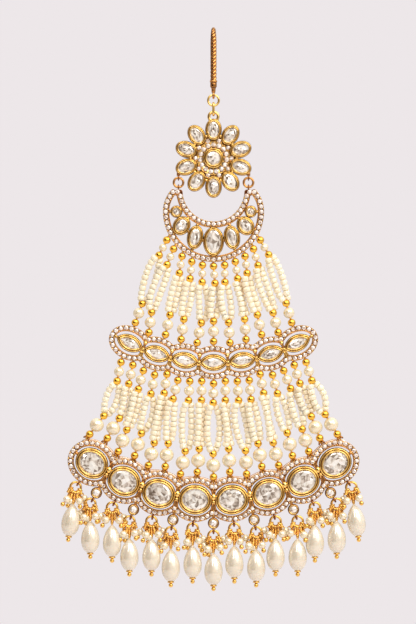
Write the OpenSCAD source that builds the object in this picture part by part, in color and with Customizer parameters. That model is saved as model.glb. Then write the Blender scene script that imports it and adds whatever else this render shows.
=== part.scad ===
// Passa jhoomar headpiece, in millimetres. The origin is the inner top of the hook, +Z is up and the front faces -Y.
// Everything flat is drawn facing the viewer: x to the right, y up the jewel and z towards the viewer.

/* [Hook] */
// Diameter of the hook's twisted bar
hook_bar_d = 1.8; // [1.6:0.1:2]
// Clear gap between the hook's front and rear legs
hook_gap = 5; // [4.6:0.2:6]
// Height from the hook's inner top down to the centre of its eye
hook_drop = 17.5; // [17:0.5:20]
// Length of the rear leg below the bend
hook_tail = 6.5; // [5:0.5:8]

/* [Flower] */
// Height from the hook's eye down to the flower's centre
flower_drop = 17.7; // [17.7:0.05:17.8]
// Radius of the circle that the petals' centres lie on
petal_ring_r = 8; // [7.95:0.05:8.05]
// Length of a petal's bezel, along the radius
petal_l = 5.9; // [5.8:0.1:6]
// Width of a petal's bezel
petal_w = 4.4; // [4.3:0.1:4.5]
// Diameter of the flower's centre bezel
disc_d = 5.6; // [5.4:0.1:5.8]

/* [Crescent] */
// Radius of the outer rim's centre line
crescent_r = 13.4; // [13.3:0.05:13.45]
// Radius of the inner rim's centre line
horn_r = 9.4; // [9.35:0.05:9.45]

/* [Bar and base] */
// Radius of the arc that the bar's marquise stones lie on
bar_r = 53.2; // [53:0.1:53.4]
// Angle from one marquise stone to the next
bar_pitch = 8.7; // [8.7:0.02:8.76]
// Radius of the arc that the base's oval stones lie on
base_r = 61; // [60.8:0.1:61.2]
// Angle from one oval stone to the next
base_pitch = 9.7; // [9.66:0.02:9.74]

/* [Metal] */
// Depth of a rim band, front to back
rim_depth = 1.6; // [1.4:0.1:1.8]
// Width of a rim band
rim_w = 1.5; // [1.4:0.05:1.6]
// Depth of a bezel, front to back
bezel_depth = 2.4; // [2.2:0.1:2.8]
// Gap between pieces that are not soldered
gap = 0.1; // [0.1:0.01:0.14]

/* [Beads and pearls] */
// Diameter of a gold bead
gold_d = 2.2; // [2:0.1:2.2]
// Diameter of a seed pearl
seed_d = 1.75; // [1.6:0.05:1.8]
// Diameter of the bore through a bead
bore_d = 0.7; // [0.65:0.05:0.8]
// Diameter of the thread
thread_d = 0.4; // [0.35:0.05:0.4]
// Width of a teardrop pearl
drop_w = 5; // [4.8:0.1:5.2]
// Length of a teardrop pearl
drop_l = 8.7; // [8.4:0.1:9]
// Height from a drop's ring down to the middle of its pearl
drop_hang = 9.5; // [9.3:0.1:10]

/* [Hidden] */
UPPER = 11;
LOWER = 17;
PETALS = 10;
MARQUISES = 7;
OVALS = 8;
DROPS = 2 * OVALS - 1;
SMOOTH = 40;
OVAL_SIDES = 36;
STONE_SIDES = 12;
TUBE_SIDES = 10;

// Depths towards the viewer from the plane of the beads' centres
back_z = -1;
floor_z = -0.45;
rim_z = back_z + rim_depth;
bezel_z = back_z + bezel_depth;
stone_back_z = floor_z + gap;
stone_girdle_z = 0.4;
stone_shoulder_z = 0.8;
stone_table_z = 1.75;

// Eyes and rings: [radius of the centre line, radius of the wire]
hook_eye = [0.8, 0.25];
hanging_ring = [1.5, 0.32];
flower_loop = [1.3, 0.42];
small_eye = [0.65, 0.2];
side_ring = [1.33, 0.27];
drop_ring = [1.45, 0.3];
link_wire_r = 0.3;
link_half_w = 0.8;
link_straight = 1.7;

// Heights of the main centres
eye_y = -hook_drop;
plane_y = -(hook_gap + hook_bar_d) / 2;
ring_y = eye_y - hanging_ring[0];
link_top_y = ring_y - hanging_ring[0] + hanging_ring[1] + 0.08 + link_wire_r;
link_bottom_y = link_top_y - link_straight - 2 * link_half_w;
flower_y = eye_y - flower_drop;
flower_loop_y = link_bottom_y + link_wire_r + 0.1 + flower_loop[1] - flower_loop[0];
side_x = 9.8;
side_eye_y = flower_y - 5.47;
side_ring_y = side_eye_y - side_ring[0];
tip_eye_y = side_ring_y - side_ring[0];
crescent_c = [0, flower_y - 14.9];
horn_c = [0, flower_y - 9.07];
bar_c = [0, flower_y - 4];
base_c = [0, flower_y - 34.8];

// Half sizes of the bezels and of the scalloped rims' centre lines, [along the arc, across it]
marquise = [3.98, 2.24];
marquise_wall = 0.9;
oval = [4.55, 4];
oval_wall = 0.9;
petal_wall = 0.65;
crescent_wall = 0.7;
bar_scallop = [5.4, 3.96];
base_scallop = [6.25, 5.5];
flange_scallop = [8.85, 6.55];
flange_end_scallop = [7.45, 6.55];
// The outermost strands end on the flange's steep ends and sit a little higher off it
slope_lift = 0.5;
tip_angle = 132;
horn_end_angle = 88;
bend_r = 8.3;
wire_w = 0.3;

// The crescent's bezels, right half and middle: offset from the outer rim's centre, size, lean towards the middle
CB_X = 0; CB_Y = 1; CB_W = 2; CB_L = 3; CB_LEAN = 4;
crescent_bezels = [
    [10.4, -0.05, 3.15, 3.15, 0],
    [8.95, -4, 4.5, 5.4, 35],
    [5.15, -7.25, 4.3, 6.5, 12],
];
crescent_middle = [0, -8.45, 5.6, 7.95, 0];
// Solder joints of the crescent's right half, as offsets from the outer rim's centre
crescent_solder = [
    [2.87, -8.1], [4.5, -3.85], [5.95, -10.65], [7.05, -5.65],
    [7.1, -1.97], [11.25, -5.05], [12.15, -0.05], [9.75, -1.8],
];

// How far each strand leans from its straight line, in degrees, positive to the right: [at the top, at the foot]
upper_leans = [
    [-6, 1], [-6, 9], [3, -1], [2, 0], [3, -8], [5, 0], [-3, 0], [0, -4], [-5, 0], [-1, -2], [9, -5],
];
lower_leans = [
    [12, -14], [7, -12], [2, -4], [3, -3], [3, -3], [-6, 1], [2, -6], [2, -2], [-1, 1],
    [-3, 0], [-2, -3], [-3, 1], [-1, 2], [1, -1], [4, -1], [-2, 2], [-6, 8],
];
// A row of strands: [count, angle step at the top, at the foot, top pearl's diameter, foot pearl's, leans]
R_COUNT = 0; R_TOP = 1; R_FOOT = 2; R_PEARL = 3; R_BIG = 4; R_LEANS = 5;
upper_row = [UPPER, 11.7, 5.5, 2.25, 3.15, upper_leans];
lower_row = [LOWER, 3.25, 4.9, 2.85, 4, lower_leans];
bead_gap = 0.15;
thread_run = 0.9;
bore_run = 1.25;
string_rings = 8;
string_gap = 0.12;

// Directions and places. Angles are counted from straight down, positive to the right.
function aim(a) = [sin(a), -cos(a)];
function polar(c, r, a) = c + r * aim(a);
function heading(p, q) = atan2(q[0] - p[0], p[1] - q[1]);
function middle_out(k, n) = k - (n + 1) / 2;

// Outlines
function oval_points(l, w, n) = [for (i = [0:n - 1]) [w / 2 * cos(360 * i / n), l / 2 * sin(360 * i / n)]];
function almond_radius(half) = (half[0] * half[0] + half[1] * half[1]) / (2 * half[1]);
function almond_height(half, x) =
    let (r = almond_radius(half)) sqrt(r * r - x * x) - (r - half[1]);
function almond_points(half, n) = [for (i = [0:n - 1])
    let (x = half[0] * cos(360 * i / n)) [x, sign(sin(360 * i / n)) * (abs(x) > half[0] - 0.001 ? 0
        : almond_height(half, x))]];

// A scalloped outline is a row of ovals on an arc, cut where neighbours meet on the line between them.
function meet(half, r, pitch, side) =
    let (t = tan(pitch / 2), a = t * t / (half[0] * half[0]) + 1 / (half[1] * half[1]),
         b = r * t * t / (half[0] * half[0]), c = r * r * t * t / (half[0] * half[0]) - 1)
    (-b + side * sqrt(b * b - a * c)) / a;
function scallop_point(c, r, at, half, phi) =
    polar(c, r - half[1] * sin(phi), at) + half[0] * cos(phi) * [cos(at), sin(at)];
function scallop_side(c, r, n, pitch, half, side, steps) =
    let (stop = asin(abs(meet(half, r, pitch, side)) / half[1]))
    [for (k = [1:n], s = [0:steps])
        let (at = pitch * middle_out(k, n), from = k == 1 ? 180 : 180 - stop, to = k == n ? 0 : stop,
             phi = from + (to - from) * s / steps)
        if (s < steps || k == n) scallop_point(c, r, at, half, -side * phi)];
function reversed(list) = [for (i = [len(list) - 1:-1:0]) list[i]];
function scallop(c, r, n, pitch, half, steps = 14) = concat(
    scallop_side(c, r, n, pitch, half, -1, steps),
    [for (p = reversed(scallop_side(c, r, n, pitch, half, 1, steps)))
        if (norm(p - scallop_point(c, r, pitch * middle_out(n, n), half, 0)) > 0.01
            && norm(p - scallop_point(c, r, pitch * middle_out(1, n), half, 180)) > 0.01) p]);
function grown(half, by) = [half[0] + by, half[1] + by];

// Distance from the arc's centre to a scalloped edge, on the near side (-1) or the far side (1)
function scallop_edge(r, n, pitch, half, angle, side) =
    let (k = max(1, min(n, round(angle / pitch + (n + 1) / 2))), d = angle - pitch * middle_out(k, n),
         a = pow(sin(d) / half[0], 2) + pow(cos(d) / half[1], 2), b = r * cos(d) / (half[1] * half[1]),
         c = r * r / (half[1] * half[1]) - 1)
    (b + side * sqrt(b * b - a * c)) / a;

// Seats of the strands' end beads, just off the rims
function seat_off() = gold_d / 2 + gap;
function upper_top(j) = polar(crescent_c, crescent_r + rim_w / 2 + seat_off(), upper_row[R_TOP] * j);
function bar_seat(angle, side) = polar(bar_c,
    scallop_edge(bar_r, MARQUISES, bar_pitch, grown(bar_scallop, rim_w / 2), angle, side) + side * seat_off(), angle);
function flange_edge(angle) = scallop_edge(base_r, OVALS, base_pitch,
    abs(angle) > base_pitch * (OVALS - 1) / 2 ? flange_end_scallop : flange_scallop, angle, -1);
function base_seat(angle) = polar(base_c,
    flange_edge(angle) - seat_off() - (abs(angle) > base_pitch * (OVALS - 1) / 2 ? slope_lift : 0), angle);

// One strand: [first bead, direction there, last bead, direction there, pearl, big pearl]
S_TOP = 0; S_TOP_DIR = 1; S_FOOT = 2; S_FOOT_DIR = 3; S_PEARL = 4; S_BIG = 5;
function strand(row, k) =
    let (j = middle_out(k, row[R_COUNT]), upper = row[R_COUNT] == UPPER,
         top = upper ? upper_top(j) : bar_seat(row[R_TOP] * j, 1),
         foot = upper ? bar_seat(row[R_FOOT] * j, -1) : base_seat(row[R_FOOT] * j),
         line = heading(top, foot), lean = row[R_LEANS][k - 1])
    [top, aim(line + lean[0]), foot, aim(line + lean[1]), row[R_PEARL], row[R_BIG]];
function step_past(pearl_d) = (gold_d + pearl_d) / 2 + bead_gap;
function top_end(s) = s[S_TOP] + s[S_TOP_DIR] * (2 * step_past(s[S_PEARL]) + gold_d / 2 + 2 * bead_gap);
function foot_end(s) = s[S_FOOT] - s[S_FOOT_DIR] * (2 * step_past(s[S_BIG]) + gold_d / 2 + 2 * bead_gap);
function bend(p0, p1, p2, p3, t) =
    pow(1 - t, 3) * p0 + 3 * pow(1 - t, 2) * t * p1 + 3 * (1 - t) * t * t * p2 + t * t * t * p3;

// The two seed strings of a strand start one behind the other, lie side by side in the middle and cross back.
// They are squeezed where the next strand comes close.
function string_point(s, t) =
    let (p0 = top_end(s), p3 = foot_end(s), pull = norm(p3 - p0) / 3)
    bend(p0, p0 + s[S_TOP_DIR] * pull, p3 - s[S_FOOT_DIR] * pull, p3, t);
function string_way(s, t) = aim(heading(string_point(s, t - 0.02), string_point(s, t + 0.02)));
function string_turn(t) = 62 * pow(abs(cos(180 * t)), 3);
function string_room(row, k, t) =
    let (own = strand(row, k), p = string_point(own, t), d = string_way(own, t))
    min([for (next = [max(1, k - 1), min(row[R_COUNT], k + 1)])
        next == k ? seed_d : abs(cross(d, string_point(strand(row, next), t) - p)) / 2 - string_gap]);
function string_half(row, k, t) =
    [min(seed_d / 2 * (1 + cos(string_turn(t))), string_room(row, k, t)), seed_d / 2 * (1 + sin(string_turn(t)))];
function ring(p, d, half) = [for (i = [0:TUBE_SIDES - 1])
    let (a = 360 * i / TUBE_SIDES)
    [p[0] - d[1] * half[0] * cos(a), p[1] + d[0] * half[0] * cos(a), half[1] * sin(a)]];
function strand_rings(row, k) =
    let (s = strand(row, k), fine = thread_d / 2 * [1, 1])
    concat(
        [ring(s[S_TOP] - s[S_TOP_DIR] * (seat_off() + thread_run), s[S_TOP_DIR], fine),
         ring(top_end(s), s[S_TOP_DIR], fine)],
        [for (i = [0:string_rings - 1])
            let (t = 0.04 + 0.92 * i / (string_rings - 1))
            ring(string_point(s, t), string_way(s, t), string_half(row, k, t))],
        [ring(foot_end(s), s[S_FOOT_DIR], fine),
         ring(s[S_FOOT] + s[S_FOOT_DIR] * (seat_off() + thread_run), s[S_FOOT_DIR], fine)]);

// Small builders
module facing() {
    translate([0, plane_y, 0]) rotate([90, 0, 0]) children();
}
module slab(low, high) {
    translate([0, 0, low]) linear_extrude(high - low) children();
}
module at(p, turn = 0) {
    translate([p[0], p[1], 0]) rotate([0, 0, turn]) children();
}
module torus(eye) {
    rotate_extrude($fn = SMOOTH) translate([eye[0], 0]) circle(eye[1], $fn = 24);
}
module edge_eye(p, eye, turn = 0) {
    at(p, turn) rotate([0, 90, 0]) torus(eye);
}
module skin(rings) {
    n = len(rings[0]);
    last = len(rings) - 1;
    polyhedron(
        points = [for (r = rings, p = r) p],
        faces = concat(
            [[for (i = [0:n - 1]) i]],
            [for (r = [0:last - 1], i = [0:n - 1], half = [0, 1])
                let (j = (i + 1) % n, a = r * n, b = a + n) half == 0 ? [a + i, b + i, b + j] : [a + i, b + j, a + j]],
            [[for (i = [n - 1:-1:0]) last * n + i]]));
}
// A cut stone on an outline: small flat back, girdle and a table in front
module cut_stone(outline) {
    levels = [[0.6, stone_back_z], [1, stone_girdle_z], [1, stone_shoulder_z], [0.62, stone_table_z]];
    skin([for (v = levels) [for (p = outline) [p[0] * v[0], p[1] * v[0], v[1]]]]);
}
module oval_stone(l, w, wall) {
    cut_stone(oval_points(l - 2 * (wall + gap), w - 2 * (wall + gap), STONE_SIDES));
}
module oval_bezel(l, w, wall) {
    difference() {
        slab(back_z, bezel_z) polygon(oval_points(l, w, OVAL_SIDES));
        oval_cup(l, w, wall);
    }
}
module oval_cup(l, w, wall) {
    slab(floor_z, bezel_z + 1) polygon(oval_points(l - 2 * wall, w - 2 * wall, OVAL_SIDES));
}
module almond(half) {
    r = almond_radius(half);
    intersection() {
        translate([0, half[1] - r]) circle(r, $fn = 96);
        translate([0, r - half[1]]) circle(r, $fn = 96);
    }
}
module bar_across(c, r, angle, low, high, width) {
    at(c, angle) translate([-width / 2, -r - high, back_z]) cube([width, high - low, rim_z - back_z - 0.1]);
}

// Hook: rope-twisted bar bent back at the top, with a band, a cuff, a tapered neck and an eye below
module hook() {
    bend_y = -hook_gap / 2;
    band = [2.1, 0.5];
    cuff = [1.9, 1.5];
    neck = [1.5, 1.1];
    neck_y = eye_y + hook_eye[0];
    cuff_y = neck_y + 1.2;
    band_y = cuff_y + cuff[1];
    front_len = bend_y - band_y - band[1];
    color("peru") {
        translate([0, 0, bend_y]) rotate([0, -90, 0]) rotate([0, 0, -90])
            rotate_extrude(angle = 180, $fn = SMOOTH) translate([-plane_y, 0]) circle(hook_bar_d / 2, $fn = 32);
        translate([0, -plane_y, bend_y - hook_tail]) cylinder(d = hook_bar_d, h = hook_tail, $fn = 32);
        translate([0, -plane_y, bend_y - hook_tail]) sphere(d = hook_bar_d, $fn = 32);
        translate([0, plane_y, band_y + band[1]]) cylinder(d = hook_bar_d, h = front_len, $fn = 32);
        translate([0, plane_y, band_y]) cylinder(d = band[0], h = band[1], $fn = 32);
        translate([0, plane_y, cuff_y]) cylinder(d = cuff[0], h = cuff[1], $fn = 32);
        translate([0, plane_y, neck_y]) cylinder(d1 = neck[1], d2 = neck[0], h = cuff_y - neck_y, $fn = 32);
        facing() edge_eye([0, eye_y], hook_eye);
    }
}
module jump_ring() {
    color("goldenrod") facing() at([0, ring_y]) torus(hanging_ring);
}
// Long link seen edge-on, round the jump ring above and the flower's loop below
module top_link() {
    mid = (link_top_y + link_bottom_y) / 2;
    color("goldenrod") facing() at([0, mid]) rotate([0, 90, 0]) rotate([0, 0, 90]) {
        for (side = [-1, 1]) {
            translate([side * link_straight / 2, 0, 0]) rotate([0, 0, -90 * side])
                rotate_extrude(angle = 180, $fn = SMOOTH) translate([link_half_w, 0]) circle(link_wire_r, $fn = 24);
            translate([-link_straight / 2, side * link_half_w, 0]) rotate([0, 90, 0])
                cylinder(r = link_wire_r, h = link_straight, $fn = 24);
        }
    }
}

// Flower
function petal_turn(k) = 360 * k / PETALS;
module petal_place(k) {
    at([0, flower_y], -petal_turn(k)) translate([0, petal_ring_r, 0]) children();
}
module flower_frame() {
    plate_r = 6.3;
    stone_band_r = 4.8;
    post = [0.35, 0.9];
    color("gold") facing() {
        difference() {
            union() {
                at([0, flower_y]) slab(back_z, back_z + 0.9) circle(plate_r, $fn = 64);
                at([0, flower_y]) slab(back_z, rim_z) circle(stone_band_r, $fn = 64);
                at([0, flower_y]) slab(back_z, bezel_z + 0.2) circle(d = disc_d, $fn = 48);
                for (k = [0:PETALS - 1])
                    petal_place(k) slab(back_z, bezel_z) polygon(oval_points(petal_l, petal_w, OVAL_SIDES));
                at([0, flower_loop_y]) torus(flower_loop);
                for (side = [-1, 1]) {
                    edge_eye([side * side_x, side_eye_y], small_eye);
                    translate([side * side_x, side_eye_y + small_eye[0] + post[1] / 2, 0]) rotate([90, 0, 0])
                        cylinder(r = post[0], h = post[1], center = true, $fn = 24);
                }
            }
            for (k = [0:PETALS - 1]) petal_place(k) oval_cup(petal_l, petal_w, petal_wall);
            at([0, flower_y]) slab(floor_z, bezel_z + 1) circle(d = disc_d - 1.7, $fn = 48);
        }
    }
}
module flower_stones() {
    color("white") facing() {
        for (k = [0:PETALS - 1]) petal_place(k) oval_stone(petal_l, petal_w, petal_wall);
        at([0, flower_y]) oval_stone(disc_d, disc_d, 0.85);
    }
}
module side_ring_at(side) {
    color("peru") facing() at([side * side_x, side_ring_y]) torus(side_ring);
}

// Crescent
function outer_rim(a, off) = abs(a) <= 90 ? polar(crescent_c, crescent_r + off, a)
    : polar(crescent_c + [sign(a) * (crescent_r - bend_r), 0], bend_r + off, a);
module crescent_bezel_places() {
    for (side = [-1, 1], b = crescent_bezels)
        at(crescent_c + [side * b[CB_X], b[CB_Y]], side * b[CB_LEAN]) children();
}
module for_crescent(kind) {
    rows = concat([for (side = [-1, 1], b = crescent_bezels)
        [side * b[CB_X], b[CB_Y], b[CB_W], b[CB_L], side * b[CB_LEAN]]], [crescent_middle]);
    for (b = rows) at(crescent_c + [b[CB_X], b[CB_Y]], b[CB_LEAN]) {
        if (kind == "wall") slab(back_z, bezel_z) polygon(oval_points(b[CB_L], b[CB_W], OVAL_SIDES));
        if (kind == "cup") oval_cup(b[CB_L], b[CB_W], crescent_wall);
        if (kind == "stone") oval_stone(b[CB_L], b[CB_W], crescent_wall);
    }
}
module crescent_frame() {
    step = 4;
    tip = [10.05, 5.25];
    tip_r = 1;
    solder_r = 0.5;
    color("gold") facing() difference() {
        union() {
            slab(back_z, rim_z) polygon(concat(
                [for (a = [-tip_angle:step:tip_angle]) outer_rim(a, rim_w / 2)],
                [for (a = [tip_angle:-step:-tip_angle]) outer_rim(a, -rim_w / 2 - wire_w)]));
            slab(back_z, rim_z) polygon(concat(
                [for (a = [-horn_end_angle:step:horn_end_angle]) polar(horn_c, horn_r + rim_w / 2 + wire_w, a)],
                [for (a = [horn_end_angle:-step:-horn_end_angle]) polar(horn_c, horn_r - rim_w / 2 + 0.1, a)]));
            for_crescent("wall");
            for (side = [-1, 1]) {
                for (p = crescent_solder)
                    at(crescent_c + [side * p[0], p[1]]) slab(back_z, rim_z - 0.2) circle(solder_r, $fn = 24);
                at(crescent_c + [side * tip[0], tip[1]]) slab(back_z, rim_z) circle(tip_r, $fn = 32);
                edge_eye([side * side_x, tip_eye_y], small_eye);
            }
        }
        for_crescent("cup");
        for (k = [1:UPPER]) thread_bore(strand(upper_row, k), -1);
    }
}
module crescent_stones() {
    color("white") facing() for_crescent("stone");
}

// Strands. A thread runs into a bore in the rim at either end.
module along(p, d, from, to, r) {
    translate([p[0] + d[0] * from, p[1] + d[1] * from, 0]) rotate([0, 0, atan2(d[1], d[0])]) rotate([0, 90, 0])
        cylinder(r = r, h = to - from, $fn = 20);
}
module thread_bore(s, end) {
    p = end < 0 ? s[S_TOP] : s[S_FOOT];
    d = end < 0 ? -s[S_TOP_DIR] : s[S_FOOT_DIR];
    along(p, d, 0, seat_off() + bore_run, bore_d / 2);
}
module bead(p, d, size, tint) {
    color(tint) difference() {
        translate([p[0], p[1], 0]) sphere(d = size, $fn = 32);
        along(p, d, -size, size, bore_d / 2);
    }
}
module strand_beads(s) {
    top_step = step_past(s[S_PEARL]);
    foot_step = step_past(s[S_BIG]);
    facing() {
        bead(s[S_TOP], s[S_TOP_DIR], gold_d, "gold");
        bead(s[S_TOP] + s[S_TOP_DIR] * top_step, s[S_TOP_DIR], s[S_PEARL], "ivory");
        bead(s[S_TOP] + s[S_TOP_DIR] * 2 * top_step, s[S_TOP_DIR], gold_d, "gold");
        bead(s[S_FOOT] - s[S_FOOT_DIR] * 2 * foot_step, s[S_FOOT_DIR], gold_d, "gold");
        bead(s[S_FOOT] - s[S_FOOT_DIR] * foot_step, s[S_FOOT_DIR], s[S_BIG], "ivory");
        bead(s[S_FOOT], s[S_FOOT_DIR], gold_d, "gold");
    }
}
module upper_strand(k) {
    strand_beads(strand(upper_row, k));
}
module lower_strand(k) {
    strand_beads(strand(lower_row, k));
}
module seed_strings(row) {
    color("bisque") facing() for (k = [1:row[R_COUNT]]) skin(strand_rings(row, k));
}

// Bar
module bar_frame() {
    post_w = 0.9;
    color("gold") facing() difference() {
        union() {
            slab(back_z, rim_z) difference() {
                polygon(scallop(bar_c, bar_r, MARQUISES, bar_pitch, grown(bar_scallop, rim_w / 2)));
                polygon(scallop(bar_c, bar_r, MARQUISES, bar_pitch, grown(bar_scallop, -rim_w / 2)));
            }
            for (k = [1:MARQUISES])
                at(bar_c, bar_pitch * middle_out(k, MARQUISES)) translate([0, -bar_r, 0])
                    slab(back_z, bezel_z) almond(marquise);
            for (k = [1:MARQUISES - 1])
                bar_across(bar_c, bar_r, bar_pitch * middle_out(k, MARQUISES - 1), -3.2, 3.2, post_w);
            for (side = [-1, 1])
                at(bar_c, side * bar_pitch * middle_out(MARQUISES, MARQUISES)) translate([side * 4.35, -bar_r, 0])
                    slab(back_z, rim_z - 0.1) square([1.3, post_w], center = true);
        }
        for (k = [1:MARQUISES])
            at(bar_c, bar_pitch * middle_out(k, MARQUISES)) translate([0, -bar_r, 0])
                slab(floor_z, bezel_z + 1) almond(marquise_cup());
        for (k = [1:UPPER]) thread_bore(strand(upper_row, k), 1);
        for (k = [1:LOWER]) thread_bore(strand(lower_row, k), -1);
    }
}
function marquise_cup() = [marquise[0] - 1.45 * marquise_wall, marquise[1] - marquise_wall];
module bar_stones() {
    cup = marquise_cup();
    color("white") facing()
        for (k = [1:MARQUISES])
            at(bar_c, bar_pitch * middle_out(k, MARQUISES)) translate([0, -bar_r, 0])
                cut_stone(almond_points([cup[0] - 1.6 * gap, cup[1] - gap], STONE_SIDES));
}

// Base, with a small round bezel under each junction and an eye for each drop
round_d = 2.95;
round_r = base_r + 6.4;
function is_junction(k) = k % 2 == 0;
function drop_angle(k) = base_pitch / 2 * middle_out(k, DROPS);
function drop_eye_r(k) = is_junction(k) ? round_r + round_d / 2 + 0.62 : base_r + base_scallop[1] + rim_w / 2 + 0.45;
function drop_ring_c(k) = polar(base_c, drop_eye_r(k) + drop_ring[0], drop_angle(k));
function drop_lean(k) = k == 1 ? -8 : k == DROPS ? 8 : 0;
module base_oval_places() {
    for (k = [1:OVALS]) at(base_c, base_pitch * middle_out(k, OVALS)) translate([0, -base_r, 0]) children();
}
module top_flange() {
    end = base_pitch * (OVALS - 1) / 2 + 5.8;
    step = end / 64;
    edge = [for (i = [-64:64]) i * step];
    slab(back_z, rim_z - 0.1) polygon(concat(
        [for (a = edge) polar(base_c, flange_edge(a), a)],
        [for (a = reversed(edge)) polar(base_c, scallop_edge(base_r, OVALS, base_pitch, base_scallop, a, -1), a)]));
}
module base_frame() {
    post_w = 1;
    joint_r = 0.95;
    color("gold") facing() difference() {
        union() {
            slab(back_z, rim_z) difference() {
                polygon(scallop(base_c, base_r, OVALS, base_pitch, grown(base_scallop, rim_w / 2)));
                polygon(scallop(base_c, base_r, OVALS, base_pitch, grown(base_scallop, -rim_w / 2)));
            }
            top_flange();
            base_oval_places() slab(back_z, bezel_z + 0.3) polygon(oval_points(2 * oval[1], 2 * oval[0], OVAL_SIDES));
            for (k = [1:OVALS - 1]) {
                bar_across(base_c, base_r, base_pitch * middle_out(k, OVALS - 1), -3.6, 3.6, post_w);
                at(polar(base_c, base_r, base_pitch * middle_out(k, OVALS - 1)))
                    slab(back_z, rim_z + 0.3) circle(joint_r, $fn = 24);
            }
            for (side = [-1, 1])
                at(base_c, side * base_pitch * middle_out(OVALS, OVALS)) translate([side * 5, -base_r, 0])
                    slab(back_z, rim_z - 0.1) square([1.5, 1], center = true);
            for (k = [1:DROPS]) {
                if (is_junction(k)) {
                    at(polar(base_c, round_r, drop_angle(k))) slab(back_z, bezel_z - 0.4) circle(d = round_d, $fn = 32);
                    bar_across(base_c, round_r, drop_angle(k), -2.9, -1.1, 0.9);
                }
                edge_eye(polar(base_c, drop_eye_r(k), drop_angle(k)), small_eye, drop_angle(k));
            }
        }
        base_oval_places() oval_cup(2 * oval[1], 2 * oval[0], oval_wall);
        for (k = [2:2:DROPS]) at(polar(base_c, round_r, drop_angle(k))) slab(floor_z, bezel_z + 1) circle(d = 2.1, $fn = 32);
        for (k = [1:LOWER]) thread_bore(strand(lower_row, k), 1);
    }
}
module base_stones() {
    color("white") facing() base_oval_places() oval_stone(2 * oval[1], 2 * oval[0], oval_wall);
}

// Drops: a ring with the head pin's end wound on to it, then the pearl, a cap and a ball on the pin
function drop_radius(u) = sin(u) * pow(sin(u / 2), 0.7) / 0.821 * drop_w / 2;
module drop_place(k) {
    at(drop_ring_c(k), drop_lean(k)) children();
}
module drop_hanger(k) {
    coil = [0.55, 1.3];
    cap = [0.95, 0.35];
    ball_r = 0.63;
    cap_y = -drop_hang - drop_l / 2 - gap;
    drop_place(k) {
        torus(drop_ring);
        rotate([90, 0, 0]) {
            translate([0, 0, drop_ring[0] - 0.15]) cylinder(r = coil[0], h = coil[1], $fn = 24);
            translate([0, 0, drop_ring[0]]) cylinder(r = thread_d / 2, h = -cap_y - drop_ring[0] + cap[1], $fn = 20);
            translate([0, 0, -cap_y]) cylinder(r = cap[0], h = cap[1], $fn = 24);
            translate([0, 0, -cap_y + cap[1] + ball_r - 0.1]) sphere(ball_r, $fn = 24);
        }
    }
}
module drop_hangers() {
    color("gold") facing() for (k = [1:DROPS]) drop_hanger(k);
}
module drop_pearl(k) {
    steps = 16;
    profile = [for (i = [0:steps]) let (u = 180 * i / steps) [drop_radius(u), drop_l / 2 * cos(u)]];
    color("ivory") facing() drop_place(k) translate([0, -drop_hang, 0]) rotate([-90, 0, 0]) difference() {
        rotate_extrude($fn = SMOOTH) polygon(profile);
        cylinder(d = bore_d, h = 2 * drop_l, center = true, $fn = 20);
    }
}

hook();
jump_ring();
top_link();
flower_frame();
flower_stones();
side_ring_at(-1);  // side_ring_left
side_ring_at(1);  // side_ring_right
crescent_frame();
crescent_stones();
seed_strings(upper_row);  // upper_seed_strings
bar_frame();
bar_stones();
seed_strings(lower_row);  // lower_seed_strings
base_frame();
base_stones();
drop_hangers();
for (k = [1:UPPER]) upper_strand(k);
for (k = [1:LOWER]) lower_strand(k);
for (k = [1:DROPS]) drop_pearl(k);
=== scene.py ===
import random
from math import acos, asin, atan2, cos, degrees, pi, radians, sin, sqrt, tan

import bpy
import numpy as np
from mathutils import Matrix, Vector


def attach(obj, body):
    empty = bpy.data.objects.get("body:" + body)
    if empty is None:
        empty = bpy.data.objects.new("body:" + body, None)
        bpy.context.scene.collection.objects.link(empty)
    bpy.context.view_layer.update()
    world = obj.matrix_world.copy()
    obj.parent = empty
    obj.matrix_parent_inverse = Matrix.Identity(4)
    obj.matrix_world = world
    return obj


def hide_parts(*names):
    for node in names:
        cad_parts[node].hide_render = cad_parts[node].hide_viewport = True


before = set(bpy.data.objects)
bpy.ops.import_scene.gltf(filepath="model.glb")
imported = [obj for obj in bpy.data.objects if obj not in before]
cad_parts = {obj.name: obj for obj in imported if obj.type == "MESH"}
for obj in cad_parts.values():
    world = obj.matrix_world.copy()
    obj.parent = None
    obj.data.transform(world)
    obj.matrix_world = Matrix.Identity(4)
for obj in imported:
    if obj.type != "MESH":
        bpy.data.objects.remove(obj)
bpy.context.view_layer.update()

# Lengths are in millimetres in the jewel's own face coordinates: x to the right, y up, z towards the viewer.
# Their origin is the mount in the hook's bend, and the face lies in the plane PLANE_Y. Angles are in degrees.
MM = 0.001
PLANE_Y = -3.4
rng = random.Random(7)

# Depths of the metal's back, of the seats under the stones and of the bezels' tops, and the rims' width
BACK, FLOOR, BEZEL, RIM_W = -1.0, -0.45, 1.4, 1.5
# Widths of gold beads and seed pearls, and the gaps between beads and at a strand's ends
GOLD_D, SEED_D, BEAD_GAP, GAP = 2.2, 2.0, 0.15, 0.1
# Centres and radii of the arcs that the parts follow, the crescent's tips, and the angles from bezel to bezel
FLOWER = (0, -35.2)
CRESCENT, HORN, BAR, BASE = (0, -50.1), (0, -44.27), (0, -39.2), (0, -70.0)
CRESCENT_R, HORN_R, BAR_R, BASE_R, SMALL_BEZEL_R = 13.4, 9.4, 53.2, 61.0, 67.4
TIP_R, TIP_END = 8.3, 132
BAR_PITCH, BASE_PITCH = 8.7, 9.7
BAR_END, BASE_END = BAR_PITCH * 3, BASE_PITCH * 3.5
MARQUISES, OVALS, DROPS, PETALS = 7, 8, 15, 10
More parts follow.
